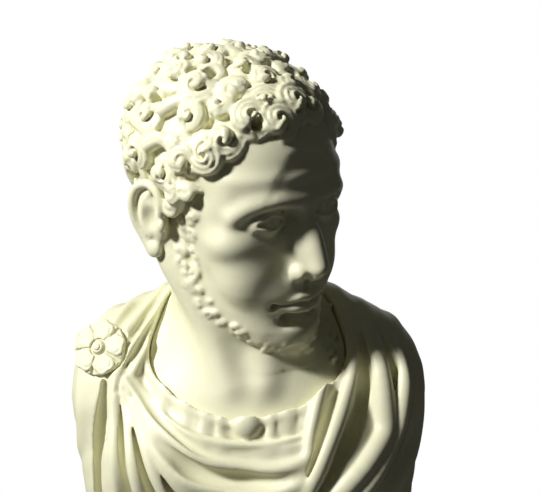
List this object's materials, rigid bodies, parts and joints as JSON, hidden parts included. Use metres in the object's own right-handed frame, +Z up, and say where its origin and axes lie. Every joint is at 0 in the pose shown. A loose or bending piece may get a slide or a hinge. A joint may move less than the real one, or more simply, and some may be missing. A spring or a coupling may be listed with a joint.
{
  "type": "marble portrait bust",
  "caption": "Life-size portrait bust with drilled curls and a cloak pinned by a rosette brooch, turning on a rod that stands in a turned socle and square plinth.",
  "frame": {"origin": "middle of the underside of the felt sheet, on the axis of the rod that the bust turns on", "axes": "+Z up the rod, -Y where the chest faces, +X towards the bust's left shoulder"},
  "size_m": [0.3232, 0.2236, 0.6979],
  "materials": {
    "marble": "satin ivory marble, finely abraded",
    "bronze": "turned bronze",
    "steel": "bright steel",
    "felt": "dark green wool felt"
  },
  "bodies": {
    "stand": {"felt_base": "felt", "plinth": "marble", "socle": "marble", "swivel_rod": "steel", "clamp_washer": "steel", "clamp_nut": "steel", "socle_nut": "steel", "thrust_washer": "bronze"},
    "bust": {"draped_bust": "marble", "head": "marble", "neck_dowel": "bronze", "rod_bush": "bronze", "brooch": "marble", "brooch_peg": "bronze"}
  },
  "joints": [
    {"name": "bust_swivel", "type": "hinge", "parent": "stand", "child": "bust", "pos_m": [0, 0, 0.2], "axis": [0, 0, 1], "continuous": true}
  ]
}
